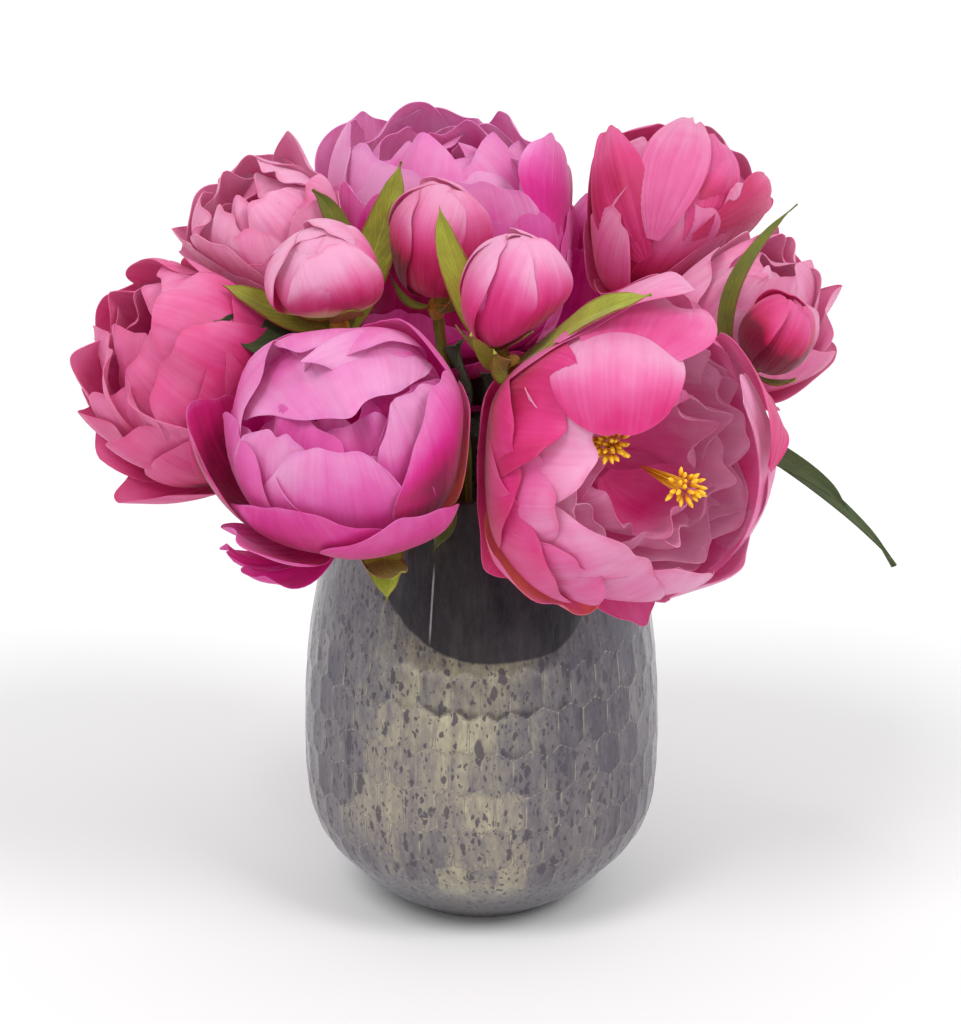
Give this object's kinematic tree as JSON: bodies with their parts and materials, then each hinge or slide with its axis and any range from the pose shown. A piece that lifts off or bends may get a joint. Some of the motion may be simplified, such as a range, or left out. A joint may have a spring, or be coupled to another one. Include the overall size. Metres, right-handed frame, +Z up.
{
  "type": "peony bouquet in a faceted glass vase",
  "caption": "Dense dome of open peonies and peony buds with leaves, standing in a wide mercury-glass vase with honeycomb facets.",
  "frame": {"origin": "middle of the vase's foot, on the surface that it stands on", "axes": "+Z up along the vase's axis, -Y towards the front of the bouquet, +X to its right"},
  "size_m": [0.3243, 0.2453, 0.3199],
  "materials": {
    "mercury_glass": "gloss",
    "water": "gloss",
    "greenery": "satin",
    "stamens": "matte",
    "petals_magenta": "matte",
    "petals_rose": "matte",
    "petals_pale": "matte",
    "petals_coral": "matte"
  },
  "bodies": {
    "root": {"vase": "mercury_glass", "water": "water", "bloom_a": "petals_magenta", "stem_a": "greenery", "bloom_b": "petals_rose", "stem_b": "greenery", "bloom_c": "petals_pale", "stem_c": "greenery", "bloom_d": "petals_pale", "stem_d": "greenery", "bloom_e": "petals_magenta", "stem_e": "greenery", "bloom_f": "petals_coral", "stem_f": "greenery", "bloom_g": "petals_rose", "stem_g": "greenery", "bloom_h": "petals_pale", "stem_h": "greenery", "bloom_i": "petals_magenta", "stem_i": "greenery", "bud_p": "petals_pale", "stem_p": "greenery", "bud_q": "petals_coral", "stem_q": "greenery", "bud_s": "petals_rose", "stem_s": "greenery", "bud_k": "petals_coral", "stem_k": "greenery", "stamens_upper": "stamens", "stamens_lower": "stamens"}
  },
  "joints": []
}
